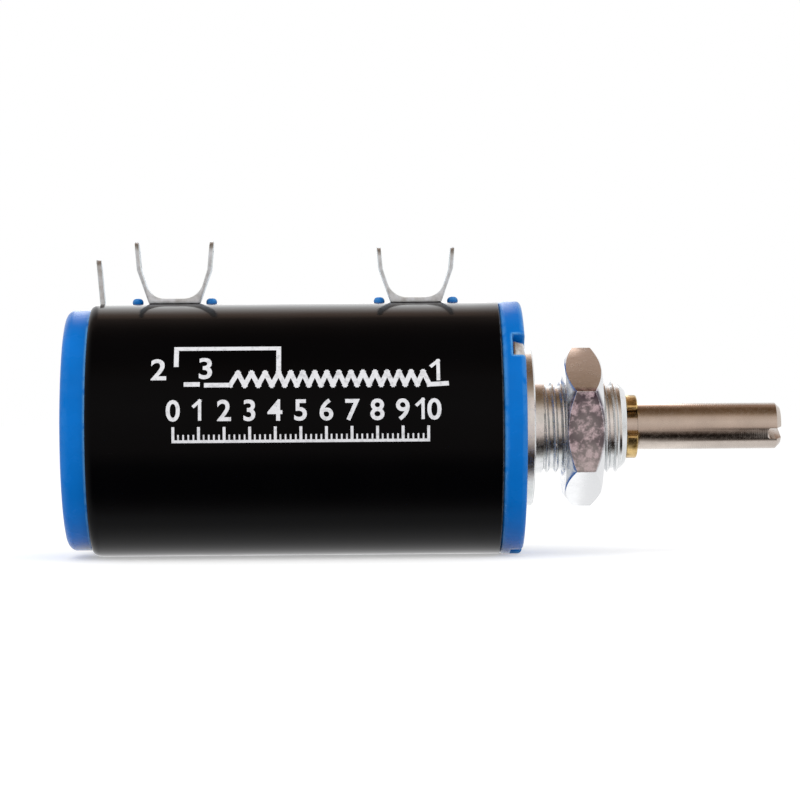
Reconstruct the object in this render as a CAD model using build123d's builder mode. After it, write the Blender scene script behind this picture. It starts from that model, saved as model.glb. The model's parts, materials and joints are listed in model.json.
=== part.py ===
from build123d import *
import os
from math import cos, hypot, pi, radians, sin, sqrt, tan

# Ten-turn wirewound potentiometer with a threaded bushing for a panel.
# The shaft carries a drum with two rails. A carriage slides on the rails and straddles a helical
# resistance element, so that ten turns of the shaft lead it from one end of the element to the other.
# The origin lies on the shaft's axis, in the flange face that seats on the panel.
# +X runs out through the shaft's end, +Z points to the solder lugs. Lengths are in millimetres.

# Housing: a black sleeve over a moulded tube, closed by a cap at each end
body_diameter = 22.0
sleeve_length = 35.2
sleeve_wall = 0.5
sleeve_edge_round = 0.45
tube_wall_share = 0.059
front_rim_length = 2.0
front_rim_round = 0.4
rear_cap_length = 2.15
rear_cap_round = 0.8
spigot_length = 2.0
spigot_wall_share = 0.05
boss_wall = 1.5
boss_length = 2.1
boss_floor = 0.3
notch_count = 3
notch_width = 2.4
notch_length = 1.1
notch_depth = 1.4
notch_angle = 139.3

# Clearances
seat_gap = 0.05
running_gap = 0.03
thread_gap = 0.05
contact_gap = 0.03
thrust_gap = 0.1
overrun = 1.0

# Bushing and nut
flange_inset = 0.08
flange_thickness = 0.95
flange_bevel = 0.12
thread_diameter = 8.0
bushing_length = 8.1
bushing_chamfer = 0.8
collar_length = 0.85
relief_width = 0.7
relief_depth = 0.35
bushing_spigot_diameter = 9.0
clinch_lip = 0.6
clinch_thickness = 0.5
washer_diameter = 7.4
washer_thickness = 0.4
nut_across_flats = 12.0
nut_sides = 6
nut_thickness = 3.2
nut_standoff = 2.75
nut_turn = 33.5
nut_chamfer_angle = 38.0
nut_bore_chamfer = 0.35

# Shaft and its retaining ring
shaft_diameter = 4.0
shaft_reach = 21.7
shaft_chamfer = 0.4
shaft_rear_gap = 0.3
shaft_flat_depth = 0.5
slot_width = 1.0
slot_depth = 1.2
slot_turn = 21.0
slot_round = 0.3
ring_diameter = 5.5
ring_thickness = 1.0
ring_seat_depth = 0.4
ring_mouth = 2.2
ring_mouth_turn = 169.0
ring_end_round = 0.25

# Element and terminals
turns = 10
element_width = 0.9
element_height = 0.9
element_end_turn = 8.0
terminal_1_setback = 7.05
terminal_3_setback = 7.15
lug_width = 2.2
lug_foot_length = 4.4
lug_floor = 0.4
lug_floor_length = 1.6
lug_bend = 1.74
lug_flare = 18.0
lug_knee_height = 2.9
lug_tip_flare = 5.0
lug_ear_thickness = 0.35
lug_1_height = 4.8
lug_3_height = 5.4
lug_eye_length = 1.6
lug_eye_width = 0.8
lug_eye_setback = 1.5
stem_length = 1.4
stem_width = 0.8
peg_diameter = 0.95
peg_spacing = 6.4
peg_height = 0.45
peg_depth = 0.9
peg_round = 0.35
lug_2_setback = 0.7
lug_2_thickness = 0.45
lug_2_height = 5.0
lug_2_turn = 20.0
lug_2_lean = 6.0

# Rotor: drum, rails and slip ring, with shares of the body's diameter
drum_wall_share = 0.068
disc_thickness = 1.2
disc_margin_share = 0.027
drum_tail = 0.8
rail_diameter_share = 0.055
rail_spacing_share = 0.1
rail_room_share = 0.045
slip_ring_width_share = 0.068
slip_ring_thickness = 0.4

# Carriage, wiper spring and brush
carriage_length = 3.0
carriage_wall_share = 0.018
carriage_room = 0.3
carriage_end_room = 0.5
fin_length = 1.8
fin_thickness = 0.45
fin_gap = 0.2
wiper_spring_width = 0.7
wiper_spring_thickness = 0.15
stop_gap = 0.05
stop_width = 1.5
stop_room = 0.4
brush_width = 1.2
brush_thickness = 0.2
brush_foot_length = 0.9
brush_toe_length = 0.7

# Places along the shaft
cap_face_x = -flange_thickness
sleeve_front_x = cap_face_x - front_rim_length
sleeve_rear_x = sleeve_front_x - sleeve_length
case_rear_x = sleeve_rear_x - rear_cap_length
clinch_x = sleeve_front_x - clinch_thickness
terminal_1_x = sleeve_front_x - terminal_1_setback
terminal_3_x = sleeve_rear_x + terminal_3_setback
terminal_2_x = sleeve_rear_x + lug_2_setback
element_length = terminal_1_x - terminal_3_x
pitch = element_length / turns
rest_x = (terminal_1_x + terminal_3_x) / 2
shaft_rear_x = sleeve_rear_x + boss_floor + shaft_rear_gap
drum_front_x = clinch_x - washer_thickness - thrust_gap
disc_offset = carriage_length / 2 + carriage_end_room
front_disc_x = terminal_1_x + disc_offset
rear_disc_x = terminal_3_x - disc_offset - disc_thickness
slip_ring_x = rear_disc_x - slip_ring_thickness
drum_rear_x = rear_disc_x - drum_tail
front_stop_x = terminal_1_x + carriage_length / 2 - pitch / 2
rear_stop_x = terminal_3_x - carriage_length / 2 + pitch / 2
ring_x = bushing_length + seat_gap

# Walls and radii
tube_wall = body_diameter * tube_wall_share
spigot_wall = body_diameter * spigot_wall_share
drum_wall = body_diameter * drum_wall_share
disc_margin = body_diameter * disc_margin_share
rail_diameter = body_diameter * rail_diameter_share
rail_spacing = body_diameter * rail_spacing_share
rail_room = body_diameter * rail_room_share
slip_ring_width = body_diameter * slip_ring_width_share
carriage_wall = body_diameter * carriage_wall_share
body_radius = body_diameter / 2
sleeve_inner_radius = body_radius - sleeve_wall
tube_outer_radius = sleeve_inner_radius - seat_gap
tube_inner_radius = tube_outer_radius - tube_wall
spigot_radius = tube_inner_radius - seat_gap
element_outer_radius = tube_inner_radius - seat_gap
element_inner_radius = element_outer_radius - element_height
element_radius = element_outer_radius - element_height / 2
shaft_radius = shaft_diameter / 2
shaft_bore_radius = shaft_radius + running_gap
flat_height = shaft_radius - shaft_flat_depth
thread_radius = thread_diameter / 2
nut_corner_radius = nut_across_flats / 2 / cos(pi / nut_sides)
flange_radius = nut_corner_radius - flange_inset
bushing_spigot_radius = bushing_spigot_diameter / 2
drum_radius = shaft_radius + drum_wall
rail_radius = rail_diameter / 2
rail_height = drum_radius + rail_room + rail_radius
rail_circle_radius = hypot(rail_height, rail_spacing / 2)
disc_radius = rail_circle_radius + rail_radius + disc_margin
stop_inner_radius = disc_radius + stop_room
slip_ring_inner_radius = rail_circle_radius - slip_ring_width / 2
slip_ring_outer_radius = rail_circle_radius + slip_ring_width / 2

# Carriage outline, seen along the shaft
carriage_half_width = rail_spacing / 2 + rail_radius + carriage_wall
carriage_bottom = drum_radius + carriage_room
carriage_top = sqrt((element_inner_radius - carriage_room) ** 2 - carriage_half_width**2)
fin_top = element_radius
fin_reach = element_width / 2 + fin_gap

rail_places = [(-rail_spacing / 2, rail_height), (rail_spacing / 2, rail_height)]
collector_rail_place = rail_places[1]
terminal_xs = [terminal_1_x, terminal_3_x]
stem_places = [(x, 0) for x in terminal_xs]
peg_places = [(x + side * peg_spacing / 2, 0) for x in terminal_xs for side in (-1, 1)]
across_lug_2 = Plane.YZ.rotated((-lug_2_turn, 0, 0))
along_lug_2 = Plane.XZ.rotated((-lug_2_turn, 0, 0))
above_lug_2 = Plane.XY.rotated((-lug_2_turn, 0, 0))

os.makedirs("parts", exist_ok=True)


def round_face(x, radius):
    """Return a disc across the shaft's axis."""
    with BuildSketch(Plane.YZ.offset(x)) as face:
        Circle(radius)
    return face.sketch


def ring_face(x, outer_radius, inner_radius):
    """Return a ring across the shaft's axis."""
    with BuildSketch(Plane.YZ.offset(x)) as face:
        Circle(outer_radius)
        Circle(inner_radius, mode=Mode.SUBTRACT)
    return face.sketch


def stop_face(x, side):
    """Return the section of a cap's finger that meets the carriage's side at the end of its travel."""
    centre_y = side * (carriage_half_width + stop_gap + stop_width / 2)
    with BuildSketch(Plane.YZ.offset(x)) as face:
        Circle(spigot_radius)
        Circle(stop_inner_radius, mode=Mode.SUBTRACT)
        with Locations((centre_y, 0)):
            Rectangle(stop_width, body_radius, align=(Align.CENTER, Align.MIN), mode=Mode.INTERSECT)
    return face.sketch


def lug_2_notch_face():
    """Return the notch, open to the rear, that terminal 2 passes through."""
    notch_front_x = terminal_2_x + lug_2_thickness / 2 + seat_gap
    notch_run = notch_front_x - sleeve_rear_x + overrun
    with BuildSketch(above_lug_2) as face:
        with Locations((notch_front_x, 0)):
            Rectangle(notch_run, lug_width + 2 * seat_gap, align=(Align.MAX, Align.CENTER))
    return face.sketch


# Sleeve: thin black tube, rounded at its rear edge, with windows for the terminals
with BuildPart() as sleeve:
    extrude(ring_face(sleeve_rear_x, body_radius, sleeve_inner_radius), amount=sleeve_length)
    rear_edges = sleeve.edges().filter_by(GeomType.CIRCLE).group_by(Axis.X)[0]
    fillet(rear_edges.sort_by(SortBy.RADIUS)[-1], radius=sleeve_edge_round)
    with BuildSketch(Plane.XY.offset(tube_inner_radius)):
        with Locations(*stem_places):
            Rectangle(stem_length + 2 * seat_gap, stem_width + 2 * seat_gap)
        with Locations(*peg_places):
            Circle(peg_diameter / 2 + seat_gap)
    extrude(amount=body_radius, mode=Mode.SUBTRACT)
    extrude(lug_2_notch_face(), amount=body_diameter, mode=Mode.SUBTRACT)
sleeve.part.label = "sleeve"
export_step(sleeve.part, "parts/sleeve.step")

# Element tube: the moulding that carries the element on its bore
with BuildPart() as element_tube:
    extrude(ring_face(sleeve_rear_x, tube_outer_radius, tube_inner_radius), amount=sleeve_length)
    with BuildSketch(Plane.XY):
        with Locations(*stem_places):
            Rectangle(stem_length + 2 * seat_gap, stem_width + 2 * seat_gap)
    extrude(amount=body_radius, mode=Mode.SUBTRACT)
    with BuildSketch(Plane.XY.offset(tube_outer_radius - peg_depth - seat_gap)):
        with Locations(*peg_places):
            Circle(peg_diameter / 2 + seat_gap)
    extrude(amount=body_radius, mode=Mode.SUBTRACT)
    extrude(lug_2_notch_face(), amount=body_diameter, mode=Mode.SUBTRACT)
element_tube.part.label = "element_tube"
export_step(element_tube.part, "parts/element_tube.step")

# Front cap: rim as wide as the sleeve, three notches in its front edge, spigot and end stop behind
with BuildPart() as front_cap:
    extrude(round_face(sleeve_front_x, body_radius), amount=front_rim_length)
    fillet(front_cap.edges().filter_by(GeomType.CIRCLE), radius=front_rim_round)
    extrude(ring_face(sleeve_front_x, spigot_radius, spigot_radius - spigot_wall), amount=-spigot_length)
    extrude(stop_face(sleeve_front_x, -1), amount=front_stop_x - sleeve_front_x)
    with BuildSketch(Plane.YZ.offset(cap_face_x)):
        with PolarLocations(body_radius, notch_count, start_angle=notch_angle):
            Rectangle(2 * notch_depth, notch_width)
    extrude(amount=-notch_length, mode=Mode.SUBTRACT)
    bushing_hole = round_face(sleeve_front_x, bushing_spigot_radius + seat_gap)
    extrude(bushing_hole, amount=front_rim_length, mode=Mode.SUBTRACT)
front_cap.part.label = "front_cap"
export_step(front_cap.part, "parts/front_cap.step")

# Rear cap: domed edge behind, spigot, end stop and shaft bearing inside, window for terminal 2
with BuildPart() as rear_cap:
    extrude(round_face(case_rear_x, tube_outer_radius), amount=rear_cap_length)
    fillet(rear_cap.edges().filter_by(GeomType.CIRCLE).group_by(Axis.X)[0], radius=rear_cap_round)
    extrude(ring_face(sleeve_rear_x, spigot_radius, spigot_radius - spigot_wall), amount=spigot_length)
    extrude(stop_face(sleeve_rear_x, 1), amount=rear_stop_x - sleeve_rear_x)
    extrude(round_face(sleeve_rear_x, shaft_radius + boss_wall), amount=boss_length)
    bearing_hole = round_face(sleeve_rear_x + boss_floor, shaft_bore_radius)
    extrude(bearing_hole, amount=boss_length, mode=Mode.SUBTRACT)
    with BuildSketch(above_lug_2):
        with Locations((terminal_2_x, 0)):
            Rectangle(lug_2_thickness + 2 * seat_gap, lug_width + 2 * seat_gap)
    extrude(amount=body_diameter, mode=Mode.SUBTRACT)
rear_cap.part.label = "rear_cap"
export_step(rear_cap.part, "parts/rear_cap.step")

# Bushing: flange as wide as the nut, plain collar, narrow groove, thread as a plain cylinder, clinched spigot
with BuildPart() as bushing:
    with BuildSketch(Plane.XZ):
        with BuildLine():
            Polyline(
                (clinch_x, shaft_bore_radius),
                (clinch_x, bushing_spigot_radius + clinch_lip),
                (sleeve_front_x, bushing_spigot_radius + clinch_lip),
                (sleeve_front_x, bushing_spigot_radius),
                (cap_face_x, bushing_spigot_radius),
                (cap_face_x, flange_radius),
                (-flange_bevel, flange_radius),
                (0, flange_radius - flange_bevel),
                (0, thread_radius),
                (collar_length, thread_radius),
                (collar_length, thread_radius - relief_depth),
                (collar_length + relief_width, thread_radius - relief_depth),
                (collar_length + relief_width, thread_radius),
                (bushing_length - bushing_chamfer, thread_radius),
                (bushing_length, thread_radius - bushing_chamfer),
                (bushing_length, shaft_bore_radius),
                close=True,
            )
        make_face()
    revolve(axis=Axis.X)
bushing.part.label = "bushing"
export_step(bushing.part, "parts/bushing.step")

# Thrust washer: between the clinched end of the bushing and the drum
with BuildPart() as thrust_washer:
    extrude(ring_face(clinch_x, washer_diameter / 2, shaft_radius + seat_gap), amount=-washer_thickness)
thrust_washer.part.label = "thrust_washer"
export_step(thrust_washer.part, "parts/thrust_washer.step")

# Resistance element: a right-handed helix seated in the tube's bore, its ends under terminals 1 and 3
end_overlap = pitch * element_end_turn / 360
element_path = Edge.make_helix(
    pitch,
    element_length + 2 * end_overlap,
    element_radius,
    (terminal_3_x - end_overlap, 0, 0),
    (1, 0, 0),
)
start_angle = Vector(0, 0, 1).get_signed_angle(
    (element_path @ 0) - Vector(terminal_3_x - end_overlap, 0, 0), Vector(1, 0, 0)
)
element_path = element_path.rotate(Axis.X, -start_angle - element_end_turn)
element_start = element_path @ 0
with BuildPart() as resistance_element:
    start_plane = Plane(
        origin=element_start,
        x_dir=element_start - Vector(element_start.X, 0, 0),
        z_dir=element_path % 0,
    )
    with BuildSketch(start_plane):
        Rectangle(element_height, element_width)
    sweep(path=element_path, is_frenet=True)
resistance_element.part.label = "resistance_element"
export_step(resistance_element.part, "parts/resistance_element.step")


def element_lug(centre_x, ear_height):
    """Return a solder lug with two bent ears, on a stem that reaches down to the element's end."""
    foot_half = lug_floor_length / 2
    flare = radians(lug_flare)
    bend_end_x = foot_half + lug_bend * cos(flare)
    bend_end_z = lug_floor + lug_bend * (1 - sin(flare))
    half_turn = (pi / 2 - flare) / 2
    bend_middle_x = foot_half + lug_bend * sin(half_turn)
    bend_middle_z = lug_floor + lug_bend * (1 - cos(half_turn))
    bend_middle = (bend_middle_x, bend_middle_z)
    tip_flare = radians(lug_tip_flare)
    knee_inner_x = bend_end_x + (lug_knee_height - bend_end_z) * tan(flare)
    knee_outer_x = knee_inner_x + lug_ear_thickness / cos((flare + tip_flare) / 2)
    tip_inner_x = knee_inner_x + (ear_height - lug_knee_height) * tan(tip_flare)
    tip_outer_x = tip_inner_x + lug_ear_thickness / cos(tip_flare)
    tip_z = body_radius + ear_height
    eye_z = tip_z - lug_eye_setback
    with BuildPart() as lug:
        with BuildSketch(Plane.XZ.shift_origin((centre_x, 0, body_radius))):
            with BuildLine():
                Line((0, 0), (lug_foot_length / 2, 0))
                Line((lug_foot_length / 2, 0), (knee_outer_x, lug_knee_height))
                Line((knee_outer_x, lug_knee_height), (tip_outer_x, ear_height))
                Line((tip_outer_x, ear_height), (tip_inner_x, ear_height))
                Line((tip_inner_x, ear_height), (knee_inner_x, lug_knee_height))
                Line((knee_inner_x, lug_knee_height), (bend_end_x, bend_end_z))
                ThreePointArc((bend_end_x, bend_end_z), bend_middle, (foot_half, lug_floor))
                Line((foot_half, lug_floor), (0, lug_floor))
                mirror(about=Plane.YZ)
            make_face()
        extrude(amount=lug_width / 2, both=True)
        with BuildSketch(Plane.YZ.offset(centre_x)):
            Rectangle(lug_width, tip_z - lug_width / 2, align=(Align.CENTER, Align.MIN))
            with Locations((0, tip_z - lug_width / 2)):
                Circle(lug_width / 2)
            with Locations((0, eye_z)):
                SlotOverall(lug_eye_length, lug_eye_width, rotation=90, mode=Mode.SUBTRACT)
        extrude(amount=lug_foot_length, both=True, mode=Mode.INTERSECT)
        with BuildSketch(Plane.XY.offset(element_outer_radius + seat_gap)):
            with Locations((centre_x, 0)):
                Rectangle(stem_length, stem_width)
        extrude(amount=body_radius - element_outer_radius - seat_gap + lug_floor)
    return lug


terminal_1 = element_lug(terminal_1_x, lug_1_height)
terminal_1.part.label = "terminal_1"
export_step(terminal_1.part, "parts/terminal_1.step")

terminal_3 = element_lug(terminal_3_x, lug_3_height)
terminal_3.part.label = "terminal_3"
export_step(terminal_3.part, "parts/terminal_3.step")

# Terminal 2: flat strip through the case's rear edge, its ear leaning back, the brush on its inner end
lug_2_tip_radius = body_radius + lug_2_height
brush_foot_radius = stop_inner_radius - stop_room
lug_2_end_radius = brush_foot_radius - brush_foot_length
lean_shift = lug_2_height * tan(radians(lug_2_lean))
with BuildPart() as terminal_2:
    with BuildSketch(along_lug_2):
        with BuildLine():
            Polyline(
                (terminal_2_x - lug_2_thickness / 2, lug_2_end_radius),
                (terminal_2_x + lug_2_thickness / 2, lug_2_end_radius),
                (terminal_2_x + lug_2_thickness / 2, body_radius),
                (terminal_2_x + lug_2_thickness / 2 - lean_shift, lug_2_tip_radius),
                (terminal_2_x - lug_2_thickness / 2 - lean_shift, lug_2_tip_radius),
                (terminal_2_x - lug_2_thickness / 2, body_radius),
                close=True,
            )
        make_face()
    extrude(amount=lug_width / 2, both=True)
    with BuildSketch(across_lug_2.offset(terminal_2_x)):
        Rectangle(lug_width, lug_2_tip_radius - lug_width / 2, align=(Align.CENTER, Align.MIN))
        with Locations((0, lug_2_tip_radius - lug_width / 2)):
            Circle(lug_width / 2)
        with Locations((0, lug_2_tip_radius - lug_eye_setback)):
            SlotOverall(lug_eye_length, lug_eye_width, rotation=90, mode=Mode.SUBTRACT)
    extrude(amount=lug_2_height, both=True, mode=Mode.INTERSECT)
terminal_2.part.label = "terminal_2"
export_step(terminal_2.part, "parts/terminal_2.step")

# Terminal pegs: four pegs pressed through the sleeve beside the element terminals
with BuildPart() as terminal_pegs:
    with BuildSketch(Plane.XY.offset(tube_outer_radius - peg_depth)):
        with Locations(*peg_places):
            Circle(peg_diameter / 2)
    extrude(amount=body_radius + peg_height - tube_outer_radius + peg_depth)
    peg_tops = terminal_pegs.edges().filter_by(GeomType.CIRCLE).group_by(Axis.Z)[-1]
    fillet(peg_tops, radius=peg_round)
terminal_pegs.part.label = "terminal_pegs"
export_step(terminal_pegs.part, "parts/terminal_pegs.step")

# Brush spring: bent leaf on terminal 2, its toe on the slip ring
foot_x = terminal_2_x + lug_2_thickness / 2 + brush_thickness / 2
toe_x = slip_ring_x - contact_gap - brush_thickness / 2
with BuildPart() as brush_spring:
    with BuildSketch(along_lug_2):
        with BuildLine():
            Polyline(
                (foot_x, brush_foot_radius),
                (foot_x, lug_2_end_radius),
                (toe_x, rail_circle_radius),
                (toe_x, rail_circle_radius - brush_toe_length),
            )
        trace(line_width=brush_thickness)
    extrude(amount=brush_width / 2, both=True)
brush_spring.part.label = "brush_spring"
export_step(brush_spring.part, "parts/brush_spring.step")

# Shaft: ring groove before the bushing, screwdriver slot in its end, flat for the drum
with BuildPart() as shaft:
    extrude(round_face(shaft_rear_x, shaft_radius), amount=shaft_reach - shaft_rear_x)
    chamfer(shaft.edges().filter_by(GeomType.CIRCLE), length=shaft_chamfer)
    groove = ring_face(ring_x - running_gap, shaft_radius + overrun, shaft_radius - ring_seat_depth)
    extrude(groove, amount=ring_thickness + 2 * running_gap, mode=Mode.SUBTRACT)
    with BuildSketch(Plane.XZ.rotated((slot_turn, 0, 0))) as slot:
        with Locations((shaft_reach - slot_depth, 0)):
            Rectangle(slot_depth + overrun, slot_width, align=(Align.MIN, Align.CENTER))
        fillet(slot.vertices().group_by(Axis.X)[0], radius=slot_round)
    extrude(amount=shaft_diameter, both=True, mode=Mode.SUBTRACT)
    with BuildSketch(Plane.YZ.offset(drum_rear_x)):
        with Locations((0, flat_height)):
            Rectangle(shaft_diameter, shaft_diameter, align=(Align.CENTER, Align.MIN))
    extrude(amount=drum_front_x - drum_rear_x, mode=Mode.SUBTRACT)
shaft.part.label = "shaft"
export_step(shaft.part, "parts/shaft.step")

# Retaining ring: open brass ring snapped into the shaft's groove
with BuildPart() as retaining_ring:
    with BuildSketch(Plane.YZ.offset(ring_x).rotated((ring_mouth_turn, 0, 0))):
        Circle(ring_diameter / 2)
        Circle(shaft_radius - ring_seat_depth + running_gap, mode=Mode.SUBTRACT)
        Rectangle(ring_diameter, ring_mouth, align=(Align.MIN, Align.CENTER), mode=Mode.SUBTRACT)
    extrude(amount=ring_thickness)
    fillet(retaining_ring.edges().filter_by(Axis.X), radius=ring_end_round)
retaining_ring.part.label = "retaining_ring"
export_step(retaining_ring.part, "parts/retaining_ring.step")

# Rotor drum: hub with a flat in its bore, and a disc at each end that holds the rails
with BuildPart() as rotor_drum:
    extrude(round_face(drum_rear_x, drum_radius), amount=drum_front_x - drum_rear_x)
    extrude(round_face(front_disc_x, disc_radius), amount=disc_thickness)
    extrude(round_face(rear_disc_x, disc_radius), amount=disc_thickness)
    with BuildSketch(Plane.YZ.offset(drum_rear_x)):
        Circle(shaft_bore_radius)
        with Locations((0, flat_height + running_gap)):
            Rectangle(shaft_diameter, shaft_diameter, align=(Align.CENTER, Align.MIN), mode=Mode.SUBTRACT)
    extrude(amount=drum_front_x - drum_rear_x, mode=Mode.SUBTRACT)
    with BuildSketch(Plane.YZ.offset(rear_disc_x)):
        with Locations(*rail_places):
            Circle(rail_radius + running_gap)
    extrude(amount=front_disc_x + disc_thickness - rear_disc_x, mode=Mode.SUBTRACT)
rotor_drum.part.label = "rotor_drum"
export_step(rotor_drum.part, "parts/rotor_drum.step")


def rail(place):
    """Return one rail, as long as the drum from disc to disc."""
    with BuildPart() as rod:
        with BuildSketch(Plane.YZ.offset(rear_disc_x)):
            with Locations(place):
                Circle(rail_radius)
        extrude(amount=front_disc_x + disc_thickness - rear_disc_x)
    return rod


guide_rail = rail(rail_places[0])
guide_rail.part.label = "guide_rail"
export_step(guide_rail.part, "parts/guide_rail.step")

collector_rail = rail(collector_rail_place)
collector_rail.part.label = "collector_rail"
export_step(collector_rail.part, "parts/collector_rail.step")

# Slip ring: on the drum's rear disc, over the collector rail's end
with BuildPart() as slip_ring:
    slip_ring_face = ring_face(slip_ring_x, slip_ring_outer_radius, slip_ring_inner_radius)
    extrude(slip_ring_face, amount=slip_ring_thickness)
slip_ring.part.label = "slip_ring"
export_step(slip_ring.part, "parts/slip_ring.step")

# Wiper carriage: slides on both rails, its two fins straddle one turn of the element
with BuildPart() as wiper_carriage:
    with BuildSketch(Plane.YZ.offset(rest_x)):
        with Locations((0, carriage_bottom)):
            Rectangle(
                2 * carriage_half_width,
                carriage_top - carriage_bottom,
                align=(Align.CENTER, Align.MIN),
            )
    extrude(amount=carriage_length / 2, both=True)
    for side in (-1, 1):
        with BuildSketch(Plane.YZ.offset(rest_x + side * fin_reach)):
            with Locations((0, carriage_bottom)):
                Rectangle(fin_length, fin_top - carriage_bottom, align=(Align.CENTER, Align.MIN))
        extrude(amount=side * fin_thickness)
    with BuildSketch(Plane.YZ.offset(rest_x)):
        with Locations(*rail_places):
            Circle(rail_radius + running_gap)
    extrude(amount=carriage_length, both=True, mode=Mode.SUBTRACT)
wiper_carriage.part.label = "wiper_carriage"
export_step(wiper_carriage.part, "parts/wiper_carriage.step")

# Wiper spring: arch that touches the element between the fins, and a leg to the collector rail
arch_half = carriage_half_width - wiper_spring_thickness
arch_foot_z = carriage_top + wiper_spring_thickness / 2
arch_crest_z = element_inner_radius - contact_gap - wiper_spring_thickness / 2
tab_inner_y = fin_length / 2 + fin_gap
carriage_front_x = rest_x + carriage_length / 2
leg_width = 2 * (carriage_half_width - collector_rail_place[0])
leg_bottom = rail_height - leg_width / 2
with BuildPart() as wiper_spring:
    with BuildSketch(Plane.YZ.offset(rest_x)):
        with BuildLine():
            ThreePointArc((-arch_half, arch_foot_z), (0, arch_crest_z), (arch_half, arch_foot_z))
        trace(line_width=wiper_spring_thickness)
        with Locations((0, carriage_top)):
            Rectangle(
                2 * carriage_half_width,
                element_outer_radius,
                align=(Align.CENTER, Align.MIN),
                mode=Mode.INTERSECT,
            )
    extrude(amount=wiper_spring_width / 2, both=True)
    with BuildSketch(Plane.XY.offset(carriage_top)):
        with Locations((rest_x, tab_inner_y)):
            Rectangle(
                carriage_length / 2 + wiper_spring_thickness,
                carriage_half_width - tab_inner_y,
                align=(Align.MIN, Align.MIN),
            )
    extrude(amount=wiper_spring_thickness)
    with BuildSketch(Plane.YZ.offset(carriage_front_x)):
        with Locations((collector_rail_place[0], leg_bottom)):
            Rectangle(
                leg_width,
                carriage_top + wiper_spring_thickness - leg_bottom,
                align=(Align.CENTER, Align.MIN),
            )
        with Locations(collector_rail_place):
            Circle(rail_radius + running_gap, mode=Mode.SUBTRACT)
    extrude(amount=wiper_spring_thickness)
wiper_spring.part.label = "wiper_spring"
export_step(wiper_spring.part, "parts/wiper_spring.step")

# Hex nut: corners turned off on both faces, bore chamfered
nut_corner_drop = (nut_corner_radius - nut_across_flats / 2) * tan(radians(nut_chamfer_angle))
nut_bore_radius = thread_radius + thread_gap
with BuildPart() as hex_nut:
    with BuildSketch(Plane.YZ.offset(nut_standoff).rotated((nut_turn, 0, 0))):
        RegularPolygon(nut_corner_radius, nut_sides)
    extrude(amount=nut_thickness)
    with BuildSketch(Plane.XZ):
        with BuildLine():
            Polyline(
                (nut_standoff, nut_bore_radius + nut_bore_chamfer),
                (nut_standoff, nut_across_flats / 2),
                (nut_standoff + nut_corner_drop, nut_corner_radius),
                (nut_standoff + nut_thickness - nut_corner_drop, nut_corner_radius),
                (nut_standoff + nut_thickness, nut_across_flats / 2),
                (nut_standoff + nut_thickness, nut_bore_radius + nut_bore_chamfer),
                (nut_standoff + nut_thickness - nut_bore_chamfer, nut_bore_radius),
                (nut_standoff + nut_bore_chamfer, nut_bore_radius),
                close=True,
            )
        make_face()
    revolve(axis=Axis.X, mode=Mode.INTERSECT)
hex_nut.part.label = "hex_nut"
export_step(hex_nut.part, "parts/hex_nut.step")
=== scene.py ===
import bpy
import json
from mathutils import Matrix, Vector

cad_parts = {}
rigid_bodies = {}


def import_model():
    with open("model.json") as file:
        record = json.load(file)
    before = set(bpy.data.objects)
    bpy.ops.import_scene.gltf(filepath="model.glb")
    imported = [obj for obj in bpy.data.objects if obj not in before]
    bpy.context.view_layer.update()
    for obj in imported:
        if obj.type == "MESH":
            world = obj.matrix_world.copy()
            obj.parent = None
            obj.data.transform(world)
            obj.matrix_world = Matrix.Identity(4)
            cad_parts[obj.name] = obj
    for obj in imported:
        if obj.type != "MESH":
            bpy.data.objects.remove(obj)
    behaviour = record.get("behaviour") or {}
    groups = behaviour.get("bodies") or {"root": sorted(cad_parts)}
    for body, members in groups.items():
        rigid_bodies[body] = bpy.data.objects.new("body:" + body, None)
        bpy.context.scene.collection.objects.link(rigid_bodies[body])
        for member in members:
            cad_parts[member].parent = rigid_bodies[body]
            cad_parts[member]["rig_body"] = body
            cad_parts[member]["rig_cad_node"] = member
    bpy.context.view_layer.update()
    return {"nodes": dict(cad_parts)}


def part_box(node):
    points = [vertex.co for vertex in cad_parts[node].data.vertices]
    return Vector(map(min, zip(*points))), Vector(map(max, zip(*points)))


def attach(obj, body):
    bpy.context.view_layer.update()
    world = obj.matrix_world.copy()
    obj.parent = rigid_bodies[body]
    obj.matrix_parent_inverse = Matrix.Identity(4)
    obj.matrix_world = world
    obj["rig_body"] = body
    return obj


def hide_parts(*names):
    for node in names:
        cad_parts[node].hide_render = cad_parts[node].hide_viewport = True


bl_info = {
    "name": "Multiturn Potentiometer",
    "version": (1, 0, 0),
    "blender": (4, 5, 0),
    "location": "View3D > Sidebar > Potentiometer",
    "description": "Models, finishes and stages a ten-turn potentiometer over its packed frame",
    "category": "Object",
}

import json
import math

import bpy
from mathutils import Matrix, Vector

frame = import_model()

MM = 0.001


def linear(code):
    """Turn an sRGB hex colour into the linear values that Blender works with."""
    shares = [int(code[i : i + 2], 16) / 255 for i in (1, 3, 5)]
    return [c / 12.92 if c <= 0.04045 else ((c + 0.055) / 1.055) ** 2.4 for c in shares]


def length(name, description, millimetres):
    """Describe a size that a user may change, stored in metres."""
    return bpy.props.FloatProperty(
        name=name, description=description, default=millimetres * MM, unit="LENGTH", precision=5
    )


def colour(name, description, code):
    """Describe a colour that a user may change, given as an sRGB hex value."""
    return bpy.props.FloatVectorProperty(
        name=name, description=description, default=linear(code), subtype="COLOR", size=3, min=0, max=1
    )


def slope(name, description, degrees):
    """Describe an angle that a user may change, stored in radians."""
    return bpy.props.FloatProperty(
        name=name, description=description, default=math.radians(degrees), subtype="ANGLE"
    )


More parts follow.
